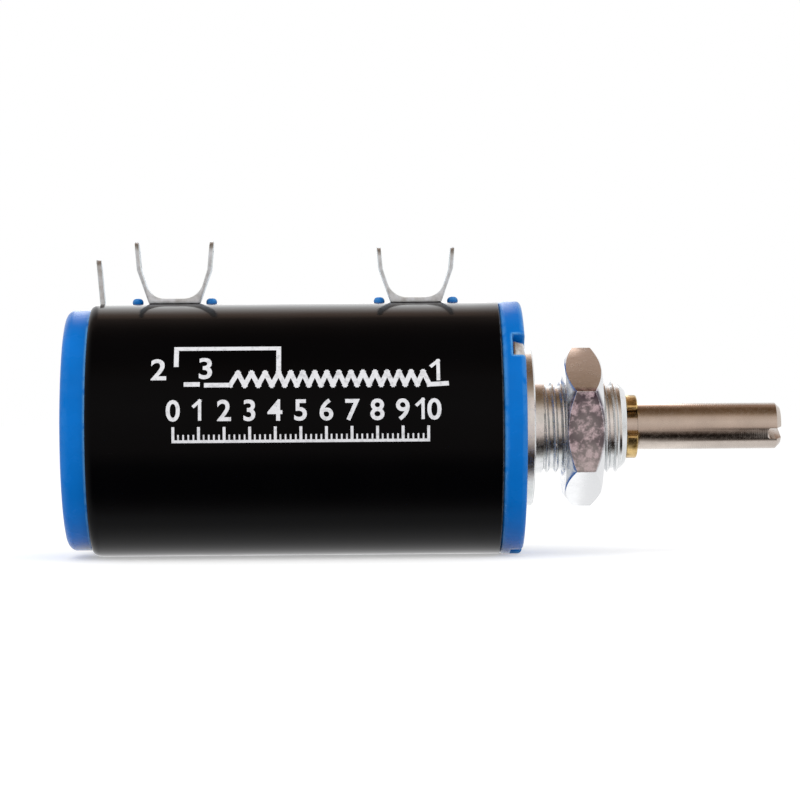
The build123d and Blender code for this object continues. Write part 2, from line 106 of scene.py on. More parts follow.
class PotSizes(bpy.types.PropertyGroup):
    """Sizes of the pieces that are shaped or rounded here"""

    body_radius: length("Body radius", "Outer radius of the sleeve with its print", 10.996)
    ink_film: length("Ink film", "How far the print stands proud of the sleeve", 0.007)
    sleeve_wall: length("Sleeve wall", "Thickness of the sleeve", 0.48)
    sleeve_round: length("Sleeve round", "Length along the axis of the sleeve's rounded rear edge", 0.9)
    stroke: length("Print stroke", "Width of the printed lines", 0.4)
    digit: length("Digit height", "Height of the printed digits", 2.0)
    flange_radius: length("Flange radius", "Radius of the bushing's flange", 6.848)
    thread_radius: length("Thread radius", "Outer radius of the bushing's thread", 4.0)
    thread_pitch: length("Thread pitch", "Distance from one thread crest to the next", 0.75)
    thread_depth: length("Thread depth", "Depth of the thread, from crest to root", 0.38)
    thread_start: length("Thread start", "Place along the axis where the thread begins", 0.85)
    thread_crest: length("Thread crest", "Width of the flat on a thread crest", 0.1)
    nut_flats: length("Nut across flats", "Width of the nut across its flats", 12.0)
    nut_chamfer: slope("Nut chamfer", "Slope of the nut's turned corners", 38)
    moulded_edge: length("Moulded edge", "Rounding of the edges of the mouldings", 0.12)
    punched_edge: length("Punched edge", "Rounding of the edges of the metal pieces", 0.05)


class PotColours(bpy.types.PropertyGroup):
    """Main colours of the finishes"""

    sleeve: colour("Sleeve", "Black moulding of the sleeve", "#030304")
    ink: colour("Ink", "White print on the sleeve", "#F0F0F4")
    blue: colour("Blue", "Blue moulding of the caps and pegs", "#0075D2")
    zinc: colour("Zinc", "Zinc plate on the bushing and the nut", "#E8E9EB")
    stain: colour("Stain", "Dark stain on the nut's front flat", "#362236")
    nickel: colour("Nickel", "Nickel plate on the shaft", "#C8BDB4")
    brass: colour("Brass", "Raw brass of the ring and the rails", "#DDBE82")
    tin: colour("Tin", "Tinned finish of the solder lugs", "#DCE6F0")
    rotor: colour("Rotor", "Dark moulding of the drum and the carriage", "#2A2624")
    wire: colour("Wire", "Resistance wire of the element", "#8A7461")
    bronze: colour("Bronze", "Bronze strip of the springs", "#B07A48")


class PotStage(bpy.types.PropertyGroup):
    """Floor, light and camera"""

    floor_height: length("Floor height", "Height of the floor, which the sleeve rests on", -11.02)
    fill: bpy.props.FloatProperty(name="Fill light", description="Strength of the even light", default=0.72)
    lamp: bpy.props.FloatProperty(
        name="Lamp", description="Power of the soft lamp above", default=0.3, subtype="POWER"
    )
    camera_distance: length("Camera distance", "Distance of the camera from the shaft's axis", 270)
    camera_along: length("Camera along", "Place of the camera along the shaft's axis", -17.36)
    camera_height: length("Camera height", "Height of the camera above the shaft's axis", 2.46)
    camera_pan: slope("Camera pan", "Turn of the camera to the right", 1.256)
    camera_roll: slope("Camera roll", "Roll of the camera", -0.42)
    lens: bpy.props.FloatProperty(name="Lens", description="Focal length in millimetres", default=139.2)


# Modelling


def clear_selection():
    """Leave edit mode with nothing selected."""
    if bpy.context.object and bpy.context.object.mode != "OBJECT":
        bpy.ops.object.mode_set(mode="OBJECT")
    bpy.ops.object.select_all(action="DESELECT")


def pick(piece):
    """Make one object the only selected one."""
    clear_selection()
    piece.select_set(True)
    bpy.context.view_layer.objects.active = piece


def turned(name, stations, steps=160):
    """Turn a closed profile of (x, radius) stations round the shaft's axis."""
    clear_selection()
    x, radius = stations[0]
    bpy.ops.mesh.primitive_circle_add(
        vertices=steps, radius=radius, location=(x, 0, 0), rotation=(0, math.pi / 2, 0)
    )
    piece = bpy.context.object
    piece.name = name
    bpy.ops.object.transform_apply(location=True, rotation=True, scale=True)
    bpy.ops.object.mode_set(mode="EDIT")
    bpy.ops.mesh.select_all(action="SELECT")
    for (x0, r0), (x1, r1) in zip(stations, stations[1:]):
        bpy.ops.mesh.extrude_region_move(TRANSFORM_OT_translate={"value": (x1 - x0, 0, 0)})
        bpy.ops.transform.resize(value=(1, r1 / r0, r1 / r0), center_override=(x1, 0, 0))
    bpy.ops.mesh.select_non_manifold(
        extend=False, use_wire=False, use_multi_face=False, use_non_contiguous=False
    )
    bpy.ops.mesh.bridge_edge_loops()
    bpy.ops.mesh.select_all(action="SELECT")
    bpy.ops.mesh.normals_make_consistent(inside=False)
    bpy.ops.object.mode_set(mode="OBJECT")
    return piece


def block(name, centre, size, turn):
    """Add a cuboid of a given size, turned about the shaft's axis with its centre."""
    clear_selection()
    bpy.ops.mesh.primitive_cube_add(size=MM, location=Matrix.Rotation(turn, 3, "X") @ Vector(centre))
    piece = bpy.context.object
    piece.name = name
    piece.scale = [edge / MM for edge in size]
    piece.rotation_euler.x = turn
    bpy.ops.object.transform_apply(location=True, rotation=True, scale=True)
    return piece


def helix_ridge(name, start, turns, pitch, inner, outer, inner_width, outer_width):
    """Sweep a tapered ridge along a right-handed helix, from a section above the axis."""
    clear_selection()
    bpy.ops.mesh.primitive_plane_add(size=pitch)
    ridge = bpy.context.object
    ridge.name = name
    section = [
        (start - inner_width / 2, inner),
        (start + inner_width / 2, inner),
        (start - outer_width / 2, outer),
        (start + outer_width / 2, outer),
    ]
    for corner, (x, z) in zip(ridge.data.vertices, section):
        corner.co = (x, 0, z)
    bpy.ops.object.mode_set(mode="EDIT")
    bpy.ops.mesh.select_all(action="SELECT")
    bpy.ops.mesh.delete(type="ONLY_FACE")
    bpy.ops.object.mode_set(mode="OBJECT")
    bpy.ops.object.modifier_add(type="SCREW")
    screw = ridge.modifiers[-1]
    screw.axis = "X"
    screw.screw_offset = pitch
    screw.iterations = turns
    screw.steps = screw.render_steps = 96
    bpy.ops.object.modifier_apply(modifier=screw.name)
    bpy.ops.object.mode_set(mode="EDIT")
    bpy.ops.mesh.select_all(action="SELECT")
    bpy.ops.mesh.fill_holes(sides=0)
    bpy.ops.mesh.normals_make_consistent(inside=False)
    bpy.ops.object.mode_set(mode="OBJECT")
    return ridge


def combine(piece, tool, operation, with_itself=False):
    """Apply a boolean of two closed pieces, and of the first with itself, and remove the second one."""
    pick(piece)
    bpy.ops.object.modifier_add(type="BOOLEAN")
    modifier = piece.modifiers[-1]
    modifier.operation = operation
    modifier.solver = "EXACT"
    modifier.use_self = with_itself
    modifier.object = tool
    bpy.ops.object.modifier_apply(modifier=modifier.name)
    bpy.data.objects.remove(tool)
    if not piece.data.polygons:
        raise RuntimeError(f"the boolean left nothing of {piece.name}")


def round_edges(piece, width, segments=2, angle=35):
    """Round the sharp edges of a piece with a bevel."""
    pick(piece)
    bpy.ops.object.modifier_add(type="BEVEL")
    bevel = piece.modifiers[-1]
    bevel.width = width
    bevel.segments = segments
    bevel.limit_method = "ANGLE"
    bevel.angle_limit = math.radians(angle)
    bpy.ops.object.modifier_apply(modifier=bevel.name)


def softened(node, width, segments=2):
    """Copy a CAD node, join its loose triangles and round its sharp edges."""
    source = frame["nodes"][node]
    piece = source.copy()
    piece.data = source.data.copy()
    piece.name = node + "_finished"
    piece.parent = None
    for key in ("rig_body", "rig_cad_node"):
        del piece[key]
    bpy.context.scene.collection.objects.link(piece)
    pick(piece)
    bpy.ops.mesh.customdata_custom_splitnormals_clear()
    bpy.ops.object.mode_set(mode="EDIT")
    bpy.ops.mesh.select_all(action="SELECT")
    bpy.ops.mesh.remove_doubles(threshold=0.0005 * MM)
    bpy.ops.mesh.dissolve_limited(angle_limit=math.radians(0.5))
    bpy.ops.object.mode_set(mode="OBJECT")
    round_edges(piece, width, segments)
    return piece


def settle(piece, body, material, nodes, angle=30):
    """Shade a finished piece, give it its material and let it stand for its CAD nodes on their body."""
    pick(piece)
    bpy.ops.object.shade_smooth_by_angle(angle=math.radians(angle))
    piece.data.materials.clear()
    piece.data.materials.append(material)
    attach(piece, body)
    if nodes:
        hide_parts(*nodes)


# Materials


def add(tree, kind, inputs=None, **settings):
    """Add one node, with its settings, and set or link its inputs."""
    node = tree.nodes.new(kind)
    for name, value in settings.items():
        setattr(node, name, value)
    for name, value in (inputs or {}).items():
        if isinstance(value, bpy.types.NodeSocket):
            tree.links.new(value, node.inputs[name])
        else:
            node.inputs[name].default_value = value
    return node


def per_mm(size):
    """Give the texture scale whose features are about this many millimetres wide."""
    return 1 / (size * MM)


def shade(rgb, share=1.0):
    """Darken or lighten a linear colour, and make it opaque."""
    return [min(1.0, c * share) for c in rgb] + [1.0]


def tint(code):
    """Give an sRGB hex colour as an opaque linear one."""
    return shade(linear(code))


def blank(name):
    """Start a material; give it with its tree, its shader and object coordinates."""
    material = bpy.data.materials.new(name)
    material.use_nodes = True
    tree = material.node_tree
    tree.nodes.clear()
    shader = add(tree, "ShaderNodeBsdfPrincipled")
    add(tree, "ShaderNodeOutputMaterial", {"Surface": shader.outputs["BSDF"]})
    place = add(tree, "ShaderNodeTexCoord").outputs["Object"]
    return material, tree, shader, place


def worn_edges(tree, place, reach):
    """Give a mask for a painted highlight: 1 along the edges, broken up by noise."""
    soft = add(tree, "ShaderNodeBevel", {"Radius": reach * MM}, samples=4)
    true = add(tree, "ShaderNodeNewGeometry")
    match = add(
        tree,
        "ShaderNodeVectorMath",
        {0: soft.outputs["Normal"], 1: true.outputs["Normal"]},
        operation="DOT_PRODUCT",
    )
    edge = add(
        tree,
        "ShaderNodeMapRange",
        {"Value": match.outputs["Value"], "From Min": 0.998, "From Max": 0.95},
    )
    highlight_breakup = add(tree, "ShaderNodeTexNoise", {"Vector": place, "Scale": per_mm(0.8), "Detail": 4})
    kept = add(
        tree,
        "ShaderNodeMapRange",
        {"Value": highlight_breakup.outputs["Fac"], "From Min": 0.3, "From Max": 0.5},
    )
    highlight_mask = add(
        tree,
        "ShaderNodeMath",
        {0: edge.outputs["Result"], 1: kept.outputs["Result"]},
        operation="MULTIPLY",
    )
    return highlight_mask.outputs["Value"]


def black_phenolic(colours):
    # Moulded phenolic: near black and satin, with a soft sheen at grazing angles and faint rubbed patches
    material, tree, shader, place = blank("moulded_phenolic_black")
    patches = add(tree, "ShaderNodeTexNoise", {"Vector": place, "Scale": per_mm(5), "Detail": 5})
    grain = add(tree, "ShaderNodeTexNoise", {"Vector": place, "Scale": per_mm(0.25), "Detail": 3})
    tone = add(
        tree,
        "ShaderNodeMix",
        {"Factor": patches.outputs["Fac"], "A": shade(colours.sleeve, 0.8), "B": shade(colours.sleeve, 1.5)},
        data_type="RGBA",
    )
    # Painted highlight: a grey-blue line along the sleeve's edges
    highlight_and_rubbing = add(
        tree,
        "ShaderNodeMix",
        {
            "Factor": worn_edges(tree, place, 0.12),
            "A": tone.outputs["Result"],
            "B": tint("#5A6470"),
        },
        data_type="RGBA",
    )
    rough = add(
        tree,
        "ShaderNodeMapRange",
        {"Value": patches.outputs["Fac"], "From Min": 0.35, "From Max": 0.65, "To Min": 0.1, "To Max": 0.17},
    )
    bump = add(
        tree,
        "ShaderNodeBump",
        {"Strength": 0.12, "Distance": 0.01 * MM, "Height": grain.outputs["Fac"]},
    )
    shader.inputs["Specular IOR Level"].default_value = 0.05
    shader.inputs["Sheen Weight"].default_value = 0.2
    shader.inputs["Sheen Roughness"].default_value = 0.3
    shader.inputs["Sheen Tint"].default_value = tint("#F2EEF6")
    tree.links.new(highlight_and_rubbing.outputs["Result"], shader.inputs["Base Color"])
    tree.links.new(rough.outputs["Result"], shader.inputs["Roughness"])
    tree.links.new(bump.outputs["Normal"], shader.inputs["Normal"])
    return material


def white_ink(colours):
    # Screen-printed ink: flat white, a little thinner and greyer in specks where the mesh left less of it
    material, tree, shader, place = blank("screen_ink_white")
    specks = add(tree, "ShaderNodeTexNoise", {"Vector": place, "Scale": per_mm(0.35), "Detail": 4})
    thick = add(
        tree,
        "ShaderNodeMapRange",
        {"Value": specks.outputs["Fac"], "From Min": 0.3, "From Max": 0.5},
    )
    tone = add(
        tree,
        "ShaderNodeMix",
        {"Factor": thick.outputs["Result"], "A": shade(colours.ink, 0.72), "B": shade(colours.ink)},
        data_type="RGBA",
    )
    tree.links.new(tone.outputs["Result"], shader.inputs["Base Color"])
    shader.inputs["Roughness"].default_value = 0.55
    return material


def blue_moulding(colours):
    # Glass-filled moulding: saturated blue, slightly cloudy, with the mould's fine grain and a painted
    # pale-blue highlight along its edges
    material, tree, shader, place = blank("moulded_nylon_blue")
    clouds = add(tree, "ShaderNodeTexNoise", {"Vector": place, "Scale": per_mm(3), "Detail": 6})
    grain = add(tree, "ShaderNodeTexNoise", {"Vector": place, "Scale": per_mm(0.18), "Detail": 2})
    tone = add(
        tree,
        "ShaderNodeMix",
        {"Factor": clouds.outputs["Fac"], "A": shade(colours.blue, 0.8), "B": shade(colours.blue, 1.15)},
        data_type="RGBA",
    )
    # Painted highlight: pale blue along the edges of the caps and pegs
    highlight_and_rubbing = add(
        tree,
        "ShaderNodeMix",
        {
            "Factor": worn_edges(tree, place, 0.35),
            "A": tone.outputs["Result"],
            "B": tint("#6FB4EA"),
        },
        data_type="RGBA",
    )
    rough = add(
        tree,
        "ShaderNodeMapRange",
        {"Value": clouds.outputs["Fac"], "From Min": 0.3, "From Max": 0.7, "To Min": 0.18, "To Max": 0.32},
    )
    bump = add(
        tree,
        "ShaderNodeBump",
        {"Strength": 0.2, "Distance": 0.01 * MM, "Height": grain.outputs["Fac"]},
    )
    shader.inputs["Specular IOR Level"].default_value = 0.09
    tree.links.new(highlight_and_rubbing.outputs["Result"], shader.inputs["Base Color"])
    tree.links.new(rough.outputs["Result"], shader.inputs["Roughness"])
    tree.links.new(bump.outputs["Normal"], shader.inputs["Normal"])
    return material


def plated_metal(name, base, stain, stain_size, grit, grit_depth, rough_low, rough_high):
    # Plated metal: bright, clouded by a thin stain, with a gritty surface that breaks the reflections up
    material, tree, shader, place = blank(name)
    clouds = add(tree, "ShaderNodeTexNoise", {"Vector": place, "Scale": per_mm(stain_size), "Detail": 6})
    specks = add(tree, "ShaderNodeTexNoise", {"Vector": place, "Scale": per_mm(grit), "Detail": 3})
    spread = add(
        tree,
        "ShaderNodeMapRange",
        {"Value": clouds.outputs["Fac"], "From Min": 0.4, "From Max": 0.7},
    )
    tone = add(
        tree,
        "ShaderNodeMix",
        {"Factor": spread.outputs["Result"], "A": shade(base), "B": shade(stain)},
        data_type="RGBA",
    )
    # Painted highlight: a brighter copy of the metal's colour along its edges
    highlit = add(
        tree,
        "ShaderNodeMix",
        {"Factor": worn_edges(tree, place, 0.1), "A": tone.outputs["Result"], "B": shade(base, 1.25)},
        data_type="RGBA",
    )
    rough = add(
        tree,
        "ShaderNodeMapRange",
        {
            "Value": specks.outputs["Fac"],
            "From Min": 0.3,
            "From Max": 0.7,
            "To Min": rough_low,
            "To Max": rough_high,
        },
    )
    bump = add(
        tree,
        "ShaderNodeBump",
        {"Strength": 1.0, "Distance": grit_depth * MM, "Height": specks.outputs["Fac"]},
    )
    tree.links.new(highlit.outputs["Result"], shader.inputs["Base Color"])
    tree.links.new(rough.outputs["Result"], shader.inputs["Roughness"])
    tree.links.new(bump.outputs["Normal"], shader.inputs["Normal"])
    shader.inputs["Metallic"].default_value = 1.0
    return material


def spangled_zinc(colours, flat_middle):
    # Zinc plate on bar: pale and smooth, with a dark stain on the front flat that bright crystals break up
    material, tree, shader, place = blank("zinc_plate_bar")
    crystals = add(
        tree,
        "ShaderNodeTexNoise",
        {"Vector": place, "Scale": per_mm(0.8), "Detail": 6, "Roughness": 0.7},
    )
    clouds = add(tree, "ShaderNodeTexNoise", {"Vector": place, "Scale": per_mm(2.5), "Detail": 3})
    speckle = add(
        tree,
        "ShaderNodeMapRange",
        {"Value": crystals.outputs["Fac"], "From Min": 0.46, "From Max": 0.6},
    )
    stained = add(
        tree,
        "ShaderNodeMix",
        {"Factor": speckle.outputs["Result"], "A": shade(colours.stain), "B": tint("#CAB8C6")},
        data_type="RGBA",
    )
    # The flat faces -Y, and only what lies close to its plane is stained
    depth = add(tree, "ShaderNodeSeparateXYZ", {0: place})
    flat = add(
        tree,
        "ShaderNodeMapRange",
        {
            "Value": depth.outputs["Y"],
            "From Min": flat_middle[1] + 0.4 * MM,
            "From Max": flat_middle[1] + 0.05 * MM,
        },
    )
    patchy = add(
        tree,
        "ShaderNodeMapRange",
        {"Value": clouds.outputs["Fac"], "From Min": 0.35, "From Max": 0.55, "To Min": 0.8, "To Max": 1.0},
    )
    share = add(
        tree,
        "ShaderNodeMath",
        {0: flat.outputs["Result"], 1: patchy.outputs["Result"]},
        operation="MULTIPLY",
    )
    # The middle of the flat is rubbed paler than its borders
    out = add(tree, "ShaderNodeVectorMath", {0: place, 1: flat_middle}, operation="DISTANCE")
    highlight_and_rubbing = add(
        tree,
        "ShaderNodeMapRange",
        {"Value": out.outputs["Value"], "From Min": 0.8 * MM, "From Max": 2.6 * MM, "To Min": 0.75},
    )
    share = add(
        tree,
        "ShaderNodeMath",
        {0: share.outputs["Value"], 1: highlight_and_rubbing.outputs["Result"]},
        operation="MULTIPLY",
    )
    tone = add(
        tree,
        "ShaderNodeMix",
        {"Factor": share.outputs["Value"], "A": shade(colours.zinc), "B": stained.outputs["Result"]},
        data_type="RGBA",
    )
    # Painted highlight: a brighter copy of the zinc's colour along the nut's edges
    highlit = add(
        tree,
        "ShaderNodeMix",
        {"Factor": worn_edges(tree, place, 0.1), "A": tone.outputs["Result"], "B": shade(colours.zinc, 1.15)},
        data_type="RGBA",
    )
    rough = add(
        tree,
        "ShaderNodeMapRange",
        {"Value": crystals.outputs["Fac"], "From Min": 0.3, "From Max": 0.7, "To Min": 0.16, "To Max": 0.3},
    )
    bump = add(
        tree,
        "ShaderNodeBump",
        {"Strength": 1.0, "Distance": 0.012 * MM, "Height": crystals.outputs["Fac"]},
    )
    tree.links.new(highlit.outputs["Result"], shader.inputs["Base Color"])
    tree.links.new(rough.outputs["Result"], shader.inputs["Roughness"])
    tree.links.new(bump.outputs["Normal"], shader.inputs["Normal"])
    shader.inputs["Metallic"].default_value = 1.0
    return material


def turned_nickel(colours):
    # Nickel plate on a turned shaft: warm grey, with the fine rings that the lathe left across it
    material, tree, shader, place = blank("nickel_plate_turned")
    # The real rings are about 0.05 mm apart; 0.16 mm is as fine as the render shows
    rings = add(
        tree,
        "ShaderNodeTexWave",
        {
            "Vector": place,
            "Scale": per_mm(0.16) * math.pi / 10,
            "Distortion": 1.5,
            "Detail": 2,
            "Detail Scale": 3,
        },
        bands_direction="X",
    )
    specks = add(tree, "ShaderNodeTexNoise", {"Vector": place, "Scale": per_mm(0.3), "Detail": 4})
    clouds = add(tree, "ShaderNodeTexNoise", {"Vector": place, "Scale": per_mm(2), "Detail": 5})
    tone = add(
        tree,
        "ShaderNodeMix",
        {"Factor": clouds.outputs["Fac"], "A": shade(colours.nickel, 0.8), "B": shade(colours.nickel, 1.1)},
        data_type="RGBA",
    )
    height = add(
        tree,
        "ShaderNodeMath",
        {0: rings.outputs["Fac"], 1: specks.outputs["Fac"]},
        operation="ADD",
    )
    rough = add(
        tree,
        "ShaderNodeMapRange",
        {"Value": specks.outputs["Fac"], "From Min": 0.3, "From Max": 0.7, "To Min": 0.14, "To Max": 0.3},
    )
    bump = add(
        tree,
        "ShaderNodeBump",
        {"Strength": 0.3, "Distance": 0.006 * MM, "Height": height.outputs["Value"]},
    )
    tree.links.new(tone.outputs["Result"], shader.inputs["Base Color"])
    tree.links.new(rough.outputs["Result"], shader.inputs["Roughness"])
    tree.links.new(bump.outputs["Normal"], shader.inputs["Normal"])
    shader.inputs["Metallic"].default_value = 1.0
    return material


def wound_wire(colours):
    # Fine resistance wire wound close on a core: a dull metal with narrow turns across it
    material, tree, shader, place = blank("resistance_wire_wound")
    # The real wire is about 0.05 mm thick; 0.15 mm is drawn, so that the turns show
    turns = add(
        tree,
        "ShaderNodeTexWave",
        {"Vector": place, "Scale": per_mm(0.15) * math.pi / 5, "Distortion": 0.3},
        bands_direction="DIAGONAL",
    )
    # The turns are dark and light copies of the wire's colour: painted shade between the turns and a painted
    # highlight along each one
    tone = add(
        tree,
        "ShaderNodeMix",
        {"Factor": turns.outputs["Fac"], "A": shade(colours.wire, 0.45), "B": shade(colours.wire, 1.2)},
        data_type="RGBA",
    )
    bump = add(
        tree,
        "ShaderNodeBump",
        {"Strength": 0.6, "Distance": 0.03 * MM, "Height": turns.outputs["Fac"]},
    )
    tree.links.new(tone.outputs["Result"], shader.inputs["Base Color"])
    tree.links.new(bump.outputs["Normal"], shader.inputs["Normal"])
    shader.inputs["Metallic"].default_value = 1.0
    shader.inputs["Roughness"].default_value = 0.42
    return material


def rotor_moulding(colours):
    # Moulded phenolic with filler: dark brown-black, matt, with pale flecks of the filler
    material, tree, shader, place = blank("moulded_phenolic_brown")
    flecks = add(tree, "ShaderNodeTexNoise", {"Vector": place, "Scale": per_mm(0.4), "Detail": 5})
    spread = add(
        tree,
        "ShaderNodeMapRange",
        {"Value": flecks.outputs["Fac"], "From Min": 0.5, "From Max": 0.75},
    )
    tone = add(
        tree,
        "ShaderNodeMix",
        {"Factor": spread.outputs["Result"], "A": shade(colours.rotor, 0.8), "B": shade(colours.rotor, 2.4)},
        data_type="RGBA",
    )
    bump = add(
        tree,
        "ShaderNodeBump",
        {"Strength": 0.25, "Distance": 0.01 * MM, "Height": flecks.outputs["Fac"]},
    )
    tree.links.new(tone.outputs["Result"], shader.inputs["Base Color"])
    tree.links.new(bump.outputs["Normal"], shader.inputs["Normal"])
    shader.inputs["Roughness"].default_value = 0.55
    return material


# Pieces


class POT_OT_sleeve(bpy.types.Operator):
    """Turn the black sleeve, round its rear edge and cut the notch for terminal 2"""

    bl_idname = "pot.sleeve"
    bl_label = "Sleeve"

    def execute(self, context):
        sizes = context.scene.pot_sizes
        low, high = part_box("sleeve")
        outer = sizes.body_radius - sizes.ink_film
        inner = outer - sizes.sleeve_wall
        edge = 0.06 * MM
        drop = 0.95 * sizes.sleeve_wall
        arc_steps = 8
        stations = [(high.x, inner), (high.x, outer - edge), (high.x - edge, outer)]
        for step in range(arc_steps + 1):
            turn = math.pi / 2 * step / arc_steps
            x = low.x + sizes.sleeve_round * (1 - math.sin(turn))
            stations.append((x, outer - drop * (1 - math.cos(turn))))
        stations.append((low.x, inner))
        sleeve = turned("sleeve_tube", stations, steps=224)
        # Terminal 2 stands to the far side of the top
        turn = math.radians(-20)
        notch = (1.95 * MM, 2.3 * MM, 3 * MM)
        opening = block("opening", (low.x, 0, outer), notch, turn)
        combine(sleeve, opening, "DIFFERENCE")
        phenolic = black_phenolic(context.scene.pot_colours)
        settle(sleeve, "housing", phenolic, ["sleeve"])
        return {"FINISHED"}


class POT_OT_print(bpy.types.Operator):
    """Print the resistor symbol, the terminal digits and a scale of turns on the sleeve"""

    bl_idname = "pot.print"
    bl_label = "Print"

    def bar(self, start, end, width):
        """Lay one straight stroke flat, with its ends carried on by half its width."""
        run = Vector(end) - Vector(start)
        middle = (Vector(end) + Vector(start)) / 2
        clear_selection()
        bpy.ops.mesh.primitive_plane_add(
            size=width, location=(middle.x, middle.y, 0), rotation=(0, 0, math.atan2(run.y, run.x))
        )
        bpy.context.object.scale.x = (run.length + width) / width
        bpy.ops.object.transform_apply(location=True, rotation=True, scale=True)
        return bpy.context.object

    def digit(self, text, x, y, height):
        """Set a plain number flat, centred on x with its foot at y."""
        clear_selection()
        bpy.ops.object.text_add(location=(x, y, 0))
        words = bpy.context.object
        words.data.body = text
        words.data.align_x = "CENTER"
        # A figure is 0.72 of the font's size high, and is drawn a little bolder than the font has it
        words.data.size = height / 0.72
        words.data.offset = 0.026 * height
        words.data.resolution_u = 4
        bpy.ops.object.convert(target="MESH")
        bpy.ops.object.transform_apply(location=True, rotation=True, scale=True)
        return bpy.context.object

    def one(self, x, y, height):
        """Draw a figure 1 with a flag, which the built-in font leaves off, as two strokes."""
        width = 0.15 * height
        top = y + height - width / 2
        return [
            self.bar((x, y + width / 2), (x, top), width),
            self.bar((x - 0.27 * height, top - 0.24 * height), (x, top), width),
        ]

    def symbol(self, sizes):
        """Draw the resistor symbol, placed in millimetres, with the numbers of its terminals."""
        lines = [
            [(-30.45, 5.82), (-30.45, 7.46), (-21.84, 7.46), (-21.84, 5.0)],
            [(-29.6, 3.98), (-28.65, 3.98)],
            [(-9.2, 3.84), (-7.75, 3.92)],
        ]
        # The wiper's line comes down on a tooth; the teeth to its left are a little wider
        zigzag = [(-27.9, 3.9), (-25.9, 3.9)]
        peak = -25.26
        for pitch in [1.14] * 3 + [1.012] * 13:
            zigzag += [(peak, 5.0), (peak + pitch / 2, 3.86)]
            peak += pitch
        lines.append(zigzag)
        marks = []
        for line in lines:
            for start, end in zip(line, line[1:]):
                marks.append(self.bar([v * MM for v in start], [v * MM for v in end], sizes.stroke))
        for text, x, y in (("2", -31.93, 4.43), ("3", -27.97, 4.52)):
            marks.append(self.digit(text, x * MM, y * MM, sizes.digit))
        return marks + self.one(-8.42 * MM, 4.2 * MM, sizes.digit)

    def scale(self, sizes):
        """Draw the ticks and numbers of a scale of turns; give them and the line they stand on."""
        turns, parts = 10, 5
        first, spacing, foot = -30.7 * MM, 2.14 * MM, -0.9 * MM
        long_tick, short_tick = 1.1 * MM, 0.5 * MM
        bold, fine = 0.24 * MM, 0.14 * MM
        number_foot = foot + 1.75 * MM
        height = 0.9 * sizes.digit
        marks = []
        for turn in range(turns + 1):
            x = first + spacing * turn
            marks.append(self.bar((x, foot), (x, foot + long_tick), bold))
            if turn == 1:
                marks += self.one(x + 0.1 * MM, number_foot, height)
            elif turn == turns:
                marks += self.one(x - 0.45 * MM, number_foot, height)
                marks.append(self.digit("0", x + 0.5 * MM, number_foot, height))
            else:
                marks.append(self.digit(str(turn), x, number_foot, height))
        for part in range(turns * parts + 1):
            x = first + spacing * part / parts
            marks.append(self.bar((x, foot), (x, foot + short_tick), fine))
        return marks, self.bar((first, foot), (first + spacing * turns, foot), bold)

    def execute(self, context):
        sizes = context.scene.pot_sizes
        marks = self.symbol(sizes)
        ticks, base = self.scale(sizes)
        pick(marks[0])
        for mark in marks + ticks:
            mark.select_set(True)
        bpy.ops.object.join()
        print_film = bpy.context.object
        print_film.name = "printed_marks"
        for piece in (base, print_film):
            pick(piece)
            bpy.ops.object.modifier_add(type="SOLIDIFY")
            film = piece.modifiers[-1]
            film.thickness = 3 * sizes.ink_film
            film.offset = -1
            bpy.ops.object.modifier_apply(modifier=film.name)
        # Strokes that cross become one film
        combine(print_film, base, "UNION", True)
        # From below the scale to above the symbol, the film is cut into narrow strips, so that it can bend
        strip = 0.2 * MM
        bpy.ops.object.mode_set(mode="EDIT")
        for step in range(-8, 40):
            bpy.ops.mesh.select_all(action="SELECT")
            bpy.ops.mesh.bisect(plane_co=(0, step * strip, 0), plane_no=(0, 1, 0))
        bpy.ops.object.mode_set(mode="OBJECT")
        # The flat print is rolled on to the sleeve: what was its height becomes a turn round the axis
        for vertex in print_film.data.vertices:
            turn = vertex.co.y / sizes.body_radius
            radius = sizes.body_radius + vertex.co.z
            vertex.co = (vertex.co.x, -radius * math.cos(turn), radius * math.sin(turn))
        settle(print_film, "housing", white_ink(context.scene.pot_colours), [])
        return {"FINISHED"}


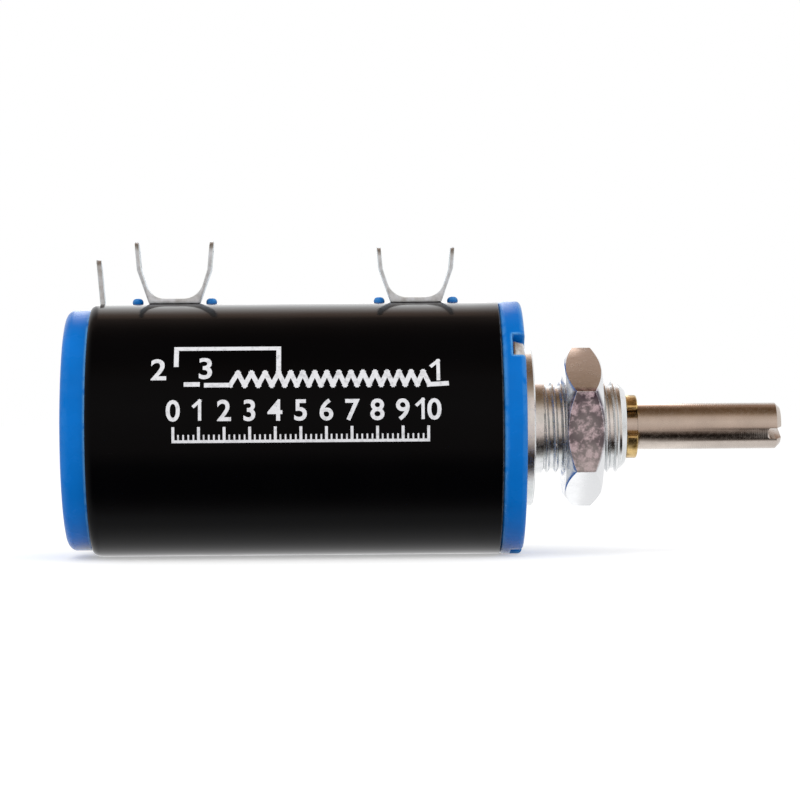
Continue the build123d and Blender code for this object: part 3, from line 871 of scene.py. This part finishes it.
class POT_OT_bushing(bpy.types.Operator):
    """Turn the bushing and cut its thread"""

    bl_idname = "pot.bushing"
    bl_label = "Bushing"

    def execute(self, context):
        sizes = context.scene.pot_sizes
        colours = context.scene.pot_colours
        low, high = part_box("bushing")
        flange = sizes.flange_radius
        crest = sizes.thread_radius
        root = crest - sizes.thread_depth
        chamfer = 0.8 * MM
        bore = 2.03 * MM
        bevel = 0.12 * MM
        # Behind the flange come the spigot through the front plate and its clinched end
        flange_rear, clinch_front = -0.95 * MM, -2.95 * MM
        spigot, clinch = 4.5 * MM, 5.1 * MM
        stations = [
            (low.x, bore),
            (low.x, clinch),
            (clinch_front, clinch),
            (clinch_front, spigot),
            (flange_rear, spigot),
            (flange_rear, flange - bevel / 2),
            (flange_rear + bevel / 2, flange),
            (-bevel, flange),
            (0, flange - bevel),
            (0, crest + bevel),
            (bevel, crest),
            (sizes.thread_start, crest),
            (sizes.thread_start + sizes.thread_depth / 2, root),
            (high.x - chamfer + sizes.thread_depth, root),
            (high.x - bevel / 2, crest - chamfer + bevel / 2),
            (high.x, crest - chamfer),
            (high.x, bore + bevel),
            (high.x - bevel, bore),
        ]
        bushing = turned("bushing_threaded", stations)
        pitch = sizes.thread_pitch
        # The ridge is sunk a little into the root, and starts and ends outside the thread's limits
        inner = root - 0.06 * MM
        flanks = 2 * math.tan(math.radians(30))
        inner_width = sizes.thread_crest + flanks * (crest - inner)
        ridge = helix_ridge(
            "thread",
            start=-0.55 * MM,
            turns=12,
            pitch=pitch,
            inner=inner,
            outer=crest,
            inner_width=min(inner_width, 0.96 * pitch),
            outer_width=sizes.thread_crest,
        )
        envelope = turned(
            "thread_limits",
            [
                (sizes.thread_start - bevel, inner - 0.2 * MM),
                (sizes.thread_start - bevel, crest),
                (high.x - chamfer, crest),
                (high.x - bevel / 4, crest - chamfer + bevel / 4),
                (high.x - bevel / 4, inner - 0.4 * MM),
            ],
        )
        combine(ridge, envelope, "INTERSECT")
        combine(bushing, ridge, "UNION")
        zinc = plated_metal(
            "zinc_plate_turned",
            colours.zinc,
            linear("#D2D6D6"),
            stain_size=1.5,
            grit=0.35,
            grit_depth=0.005,
            rough_low=0.16,
            rough_high=0.3,
        )
        settle(bushing, "housing", zinc, ["bushing"])
        return {"FINISHED"}


class POT_OT_nut(bpy.types.Operator):
    """Cut the hex nut from bar, turn its corners off, round its edges and thread its bore"""

    bl_idname = "pot.nut"
    bl_label = "Nut"

    def execute(self, context):
        sizes = context.scene.pot_sizes
        low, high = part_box("hex_nut")
        middle = (low.x + high.x) / 2
        flats = sizes.nut_flats / 2
        corner_radius = flats / math.cos(math.pi / 6)
        clear_selection()
        bpy.ops.mesh.primitive_cylinder_add(
            vertices=6, radius=corner_radius, depth=high.x - low.x, location=(middle, 0, 0)
        )
        nut = bpy.context.object
        nut.name = "nut_threaded"
        nut.rotation_euler = (0, math.pi / 2, 0)
        bpy.ops.object.transform_apply(location=True, rotation=True, scale=True)
        # Its corners are turned to where the solid has them
        solid = frame["nodes"]["hex_nut"].data
        corner = max(solid.vertices, key=lambda v: math.hypot(v.co.y, v.co.z)).co
        point = max(nut.data.vertices, key=lambda v: v.co.z).co
        turn = math.atan2(corner.z, corner.y) - math.atan2(point.z, point.y)
        nut.data.transform(Matrix.Rotation(turn, 4, "X"))
        drop = (corner_radius - flats) * math.tan(sizes.nut_chamfer)
        bore = sizes.thread_radius + 0.05 * MM
        lead = 0.35 * MM
        trim = 0.1 * MM
        limits = turned(
            "nut_limits",
            [
                (low.x + lead, bore),
                (low.x, bore + lead),
                (low.x, flats - trim),
                (low.x + drop, corner_radius - trim),
                (middle, corner_radius + MM),
                (high.x - drop, corner_radius - trim),
                (high.x, flats - trim),
                (high.x, bore + lead),
                (high.x - lead, bore),
            ],
        )
        combine(nut, limits, "INTERSECT")
        round_edges(nut, sizes.punched_edge, angle=20)
        pitch = sizes.thread_pitch
        groove = helix_ridge(
            "groove",
            start=low.x - pitch,
            turns=6,
            pitch=pitch,
            inner=bore - 0.1 * MM,
            outer=bore + 0.8 * sizes.thread_depth,
            inner_width=0.9 * pitch,
            outer_width=sizes.thread_crest,
        )
        combine(nut, groove, "DIFFERENCE")
        zinc = spangled_zinc(context.scene.pot_colours, (middle, -flats, 0))
        settle(nut, "nut", zinc, ["hex_nut"])
        return {"FINISHED"}


class POT_OT_mouldings(bpy.types.Operator):
    """Round the edges of the blue caps and pegs, and sink a panel and a gate mark in the rear cap's face"""

    bl_idname = "pot.mouldings"
    bl_label = "Blue mouldings"

    def sink_rear_face(self, cap):
        """Sink a shallow round panel with sloped sides, and the gate's dimple in the middle of it."""
        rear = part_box("rear_cap")[0].x
        depth = 0.18 * MM
        over = 0.5 * MM
        panel = (8.4 * MM, 0.25 * MM, depth)
        dimple = (0.9 * MM, 0.2 * MM, 2 * depth)
        for radius, draft, floor in (panel, dimple):
            clear_selection()
            bpy.ops.mesh.primitive_cone_add(
                vertices=128,
                radius1=radius + draft * over / depth,
                radius2=radius - draft,
                depth=over + floor,
                location=(rear + (floor - over) / 2, 0, 0),
                rotation=(0, math.pi / 2, 0),
            )
            tool = bpy.context.object
            bpy.ops.object.transform_apply(location=True, rotation=True, scale=True)
            combine(cap, tool, "DIFFERENCE")

    def execute(self, context):
        sizes = context.scene.pot_sizes
        blue = blue_moulding(context.scene.pot_colours)
        for node, width, segments in (
            ("front_cap", sizes.moulded_edge, 2),
            ("rear_cap", sizes.moulded_edge, 2),
            ("terminal_pegs", 2.5 * sizes.moulded_edge, 4),
        ):
            piece = softened(node, width, segments)
            if node == "rear_cap":
                self.sink_rear_face(piece)
            settle(piece, "housing", blue, [node])
        return {"FINISHED"}


class POT_OT_stakes(bpy.types.Operator):
    """Stake the front plate in the three notches of the blue rim"""

    bl_idname = "pot.stakes"
    bl_label = "Stakes"

    def execute(self, context):
        rear, front = -2.02 * MM, -1.0 * MM
        inner, outer = 9.5 * MM, 10.75 * MM
        width = 2.2 * MM
        bend = 0.5 * MM
        centre = ((rear + front) / 2, 0, (inner + outer) / 2)
        stake = block("stake", centre, (front - rear, width, outer - inner), 0)
        # The tab is bent down towards the front
        for corner in stake.data.vertices:
            if corner.co.x > centre[0] and corner.co.z > centre[2]:
                corner.co.z -= bend
        # The first notch lies this far round from the top, on the near side
        stake.data.transform(Matrix.Rotation(math.radians(51.5), 4, "X"))
        round_edges(stake, 0.25 * MM, segments=4, angle=30)
        copies = [stake]
        for turn in (120, 240):
            pick(stake)
            bpy.ops.object.duplicate()
            copy = bpy.context.object
            copy.data.transform(Matrix.Rotation(math.radians(turn), 4, "X"))
            copies.append(copy)
        pick(stake)
        for copy in copies:
            copy.select_set(True)
        bpy.ops.object.join()
        stake.name = "plate_stakes"
        zinc = plated_metal(
            "zinc_plate_staked",
            context.scene.pot_colours.zinc,
            linear("#B9AEA4"),
            stain_size=0.7,
            grit=0.25,
            grit_depth=0.01,
            rough_low=0.2,
            rough_high=0.36,
        )
        settle(stake, "housing", zinc, [])
        return {"FINISHED"}


class POT_OT_metal(bpy.types.Operator):
    """Round the edges of the solder lugs, the shaft and its ring"""

    bl_idname = "pot.metal"
    bl_label = "Lugs, shaft and ring"

    def execute(self, context):
        sizes = context.scene.pot_sizes
        colours = context.scene.pot_colours
        tin = plated_metal(
            "tin_plate_hot",
            colours.tin,
            linear("#BCC2C6"),
            stain_size=0.8,
            grit=0.25,
            grit_depth=0.012,
            rough_low=0.32,
            rough_high=0.52,
        )
        for node in ("terminal_1", "terminal_2", "terminal_3"):
            settle(softened(node, sizes.punched_edge), "housing", tin, [node])
        nickel = turned_nickel(colours)
        settle(softened("shaft", sizes.punched_edge), "rotor", nickel, ["shaft"])
        brass = plated_metal(
            "brass_raw",
            colours.brass,
            linear("#6E5526"),
            stain_size=1.0,
            grit=0.2,
            grit_depth=0.006,
            rough_low=0.2,
            rough_high=0.4,
        )
        ring = softened("retaining_ring", 3 * sizes.punched_edge, 3)
        settle(ring, "rotor", brass, ["retaining_ring"])
        return {"FINISHED"}


class POT_OT_inside(bpy.types.Operator):
    """Finish the pieces inside the sleeve"""

    bl_idname = "pot.inside"
    bl_label = "Inside"

    def execute(self, context):
        colours = context.scene.pot_colours
        brass = plated_metal(
            "brass_drawn",
            colours.brass,
            linear("#A67C38"),
            stain_size=1.5,
            grit=0.25,
            grit_depth=0.004,
            rough_low=0.2,
            rough_high=0.32,
        )
        bronze = plated_metal(
            "bronze_strip",
            colours.bronze,
            linear("#8C5C34"),
            stain_size=0.8,
            grit=0.2,
            grit_depth=0.004,
            rough_low=0.22,
            rough_high=0.36,
        )
        phenolic = rotor_moulding(colours)
        finishes = {
            "element_tube": blue_moulding(colours),
            "resistance_element": wound_wire(colours),
            "rotor_drum": phenolic,
            "wiper_carriage": phenolic,
            "wiper_spring": bronze,
            "brush_spring": bronze,
            "thrust_washer": brass,
            "guide_rail": brass,
            "collector_rail": brass,
            "slip_ring": brass,
        }
        for node, material in finishes.items():
            piece = frame["nodes"][node]
            piece.data.materials.clear()
            piece.data.materials.append(material)
        return {"FINISHED"}


class POT_OT_stage(bpy.types.Operator):
    """Lay a pale floor, set soft studio light and aim the camera"""

    bl_idname = "pot.stage"
    bl_label = "Stage"

    def lay_floor(self, stage):
        """Lay a plain white floor that keeps the shadow and reads as white to the camera."""
        clear_selection()
        bpy.ops.mesh.primitive_plane_add(size=3, location=(0, 0, stage.floor_height))
        floor = bpy.context.object
        floor.name = "floor"
        material = bpy.data.materials.new("paper_white")
        material.use_nodes = True
        tree = material.node_tree
        tree.nodes.clear()
        path = add(tree, "ShaderNodeLightPath").outputs
        paper = add(tree, "ShaderNodeBsdfDiffuse", {"Color": tint("#F0F0F0")})
        seen = add(
            tree,
            "ShaderNodeMath",
            {0: path["Is Camera Ray"], 1: path["Is Glossy Ray"]},
            operation="MAXIMUM",
        )
        seen = add(
            tree,
            "ShaderNodeMath",
            {0: seen.outputs["Value"], 1: path["Is Transmission Ray"]},
            operation="MAXIMUM",
        )
        level = add(tree, "ShaderNodeMath", {0: seen.outputs["Value"], 1: 0.4}, operation="MULTIPLY")
        glow = add(tree, "ShaderNodeEmission", {"Strength": level.outputs["Value"]})
        both = add(tree, "ShaderNodeAddShader", {0: paper.outputs["BSDF"], 1: glow.outputs["Emission"]})
        add(tree, "ShaderNodeOutputMaterial", {"Surface": both.outputs["Shader"]})
        floor.data.materials.append(material)
        # Metal sees the world's own pale floor instead, with a dark strip in front of it
        floor.visible_glossy = False

    def light_world(self, stage):
        """Surround the object with even white light, which metal sees as a studio with a pale floor."""
        world = bpy.data.worlds.new("studio")
        bpy.context.scene.world = world
        world.use_nodes = True
        tree = world.node_tree
        tree.nodes.clear()
        path = add(tree, "ShaderNodeLightPath").outputs
        direction = add(tree, "ShaderNodeTexCoord").outputs["Generated"]
        way = add(tree, "ShaderNodeSeparateXYZ", {0: direction})
        front = add(tree, "ShaderNodeMath", {0: way.outputs["Y"], 1: -1.0}, operation="MULTIPLY")
        height = add(
            tree,
            "ShaderNodeMath",
            {0: way.outputs["Z"], 1: front.outputs["Value"]},
            operation="ARCTAN2",
        )
        share = add(
            tree,
            "ShaderNodeMapRange",
            {"Value": height.outputs["Value"], "From Min": -math.pi, "From Max": math.pi},
        )
        room = add(tree, "ShaderNodeValToRGB", {"Fac": share.outputs["Result"]})
        # Degrees round the shaft's axis: from behind, under the floor, past the front at 0, over the top
        stops = [
            (-180, "#FFFFFF"),
            (-120, "#F6F6F6"),
            (-86, "#FFFFFF"),
            (-75, "#B4AFAC"),
            (-65, "#5B5450"),
            (-56, "#171311"),
            (-46, "#1B1512"),
            (-33, "#5A4F49"),
            (-18, "#DACBC2"),
            (20, "#F2E6DD"),
            (45, "#DFCFC3"),
            (56, "#B5A18E"),
            (68, "#85705A"),
            (90, "#6E543C"),
            (106, "#7E664F"),
            (117, "#AF9482"),
            (130, "#AF9482"),
            (140, "#F0EAE6"),
            (150, "#FFFFFF"),
        ]
        ramp = room.color_ramp
        while len(ramp.elements) < len(stops):
            ramp.elements.new(0.5)
        for element, (angle, code) in zip(ramp.elements, stops):
            element.position = (angle + 180) / 360
            element.color = tint(code)
        sideways = add(tree, "ShaderNodeMath", {0: way.outputs["X"]}, operation="ABSOLUTE")
        side = add(
            tree,
            "ShaderNodeMapRange",
            {"Value": sideways.outputs["Value"], "From Min": 0.35, "From Max": 0.8},
            interpolation_type="SMOOTHSTEP",
        )
        # Two bright panels behind the object light the sleeve's upper and lower edges
        above = add(
            tree,
            "ShaderNodeMapRange",
            {
                "Value": height.outputs["Value"],
                "From Min": math.radians(121),
                "From Max": math.radians(126),
                "To Max": 2.0,
            },
        )
        below = add(
            tree,
            "ShaderNodeMapRange",
            {
                "Value": height.outputs["Value"],
                "From Min": math.radians(-95),
                "From Max": math.radians(-112),
                "To Max": 0.32,
            },
        )
        panels = add(
            tree,
            "ShaderNodeMath",
            {0: above.outputs["Result"], 1: below.outputs["Result"]},
            operation="ADD",
        )
        # They end to the left of the shaft and before the sleeve's rounded rear edge
        right_end = add(
            tree,
            "ShaderNodeMapRange",
            {"Value": way.outputs["X"], "From Min": 0.07, "From Max": 0.05},
        )
        left_end = add(
            tree,
            "ShaderNodeMapRange",
            {"Value": way.outputs["X"], "From Min": -0.16, "From Max": -0.1},
        )
        width = add(
            tree,
            "ShaderNodeMath",
            {0: right_end.outputs["Result"], 1: left_end.outputs["Result"]},
            operation="MINIMUM",
        )
        panels = add(
            tree,
            "ShaderNodeMath",
            {0: panels.outputs["Value"], 1: width.outputs["Value"]},
            operation="MULTIPLY",
        )
        level = add(
            tree,
            "ShaderNodeMath",
            {0: panels.outputs["Value"], 1: 1.0},
            operation="ADD",
        )
        studio = add(
            tree,
            "ShaderNodeMix",
            {"Factor": side.outputs["Result"], "A": room.outputs["Color"], "B": tint("#FAFAFA")},
            data_type="RGBA",
        )
        white = tint("#FFFFFF")
        even = add(tree, "ShaderNodeBackground", {"Color": white, "Strength": stage.fill})
        mirrored = add(
            tree,
            "ShaderNodeBackground",
            {"Color": studio.outputs["Result"], "Strength": level.outputs["Value"]},
        )
        behind = add(tree, "ShaderNodeBackground", {"Color": white, "Strength": 1.0})
        lit = add(
            tree,
            "ShaderNodeMixShader",
            {0: path["Is Glossy Ray"], 1: even.outputs["Background"], 2: mirrored.outputs["Background"]},
        )
        shown = add(
            tree,
            "ShaderNodeMixShader",
            {0: path["Is Camera Ray"], 1: lit.outputs["Shader"], 2: behind.outputs["Background"]},
        )
        add(tree, "ShaderNodeOutputWorld", {"Surface": shown.outputs["Shader"]})

    def hang_lamp(self, stage):
        """Hang one large soft lamp above the front."""
        clear_selection()
        bpy.ops.object.light_add(type="AREA", location=(-0.06, -0.16, 0.28))
        lamp = bpy.context.object
        lamp.data.energy = stage.lamp
        lamp.data.size = 0.3
        aim = Vector((-0.01, 0, 0)) - lamp.location
        lamp.rotation_mode = "QUATERNION"
        lamp.rotation_quaternion = aim.to_track_quat("-Z", "Y")
        lamp.visible_glossy = False

    def aim_camera(self, stage):
        """Place the camera level with the object, to the left of its middle."""
        ahead = Vector((math.sin(stage.camera_pan), math.cos(stage.camera_pan), 0))
        right = Vector((math.cos(stage.camera_pan), -math.sin(stage.camera_pan), 0))
        up = right.cross(ahead)
        across = right * math.cos(stage.camera_roll) + up * math.sin(stage.camera_roll)
        above = up * math.cos(stage.camera_roll) - right * math.sin(stage.camera_roll)
        bpy.ops.object.camera_add()
        camera = bpy.context.object
        camera.name = "camera"
        turn = Matrix((across, above, -ahead)).transposed().to_4x4()
        spot = (stage.camera_along, -stage.camera_distance, stage.camera_height)
        camera.matrix_world = Matrix.Translation(spot) @ turn
        camera.data.lens = stage.lens
        camera.data.sensor_width = 36
        camera.data.clip_start = 0.01
        camera.data.clip_end = 20
        bpy.context.scene.camera = camera

    def execute(self, context):
        stage = context.scene.pot_stage
        self.lay_floor(stage)
        self.light_world(stage)
        self.hang_lamp(stage)
        self.aim_camera(stage)
        context.scene.view_settings.view_transform = "Standard"
        return {"FINISHED"}


OPERATORS = (
    POT_OT_sleeve,
    POT_OT_print,
    POT_OT_bushing,
    POT_OT_nut,
    POT_OT_mouldings,
    POT_OT_stakes,
    POT_OT_metal,
    POT_OT_inside,
    POT_OT_stage,
)


class POT_PT_panel(bpy.types.Panel):
    """List the steps that build the potentiometer, with its sizes, colours and stage"""

    bl_idname = "POT_PT_panel"
    bl_label = "Potentiometer"
    bl_space_type = "VIEW_3D"
    bl_region_type = "UI"
    bl_category = "Potentiometer"

    def draw(self, context):
        for operator in OPERATORS:
            self.layout.operator(operator.bl_idname)
        for group in (context.scene.pot_sizes, context.scene.pot_colours, context.scene.pot_stage):
            column = self.layout.column(align=True)
            for name in group.__annotations__:
                column.prop(group, name)


CLASSES = (PotSizes, PotColours, PotStage, *OPERATORS, POT_PT_panel)


def register():
    for made in CLASSES:
        bpy.utils.register_class(made)
    bpy.types.Scene.pot_sizes = bpy.props.PointerProperty(type=PotSizes)
    bpy.types.Scene.pot_colours = bpy.props.PointerProperty(type=PotColours)
    bpy.types.Scene.pot_stage = bpy.props.PointerProperty(type=PotStage)


def unregister():
    del bpy.types.Scene.pot_stage
    del bpy.types.Scene.pot_colours
    del bpy.types.Scene.pot_sizes
    for made in reversed(CLASSES):
        bpy.utils.unregister_class(made)


def main():
    register()
    bpy.ops.pot.sleeve()
    bpy.ops.pot.print()
    bpy.ops.pot.bushing()
    bpy.ops.pot.nut()
    bpy.ops.pot.mouldings()
    bpy.ops.pot.stakes()
    bpy.ops.pot.metal()
    bpy.ops.pot.inside()
    bpy.ops.pot.stage()


if __name__ == "__main__":
    main()
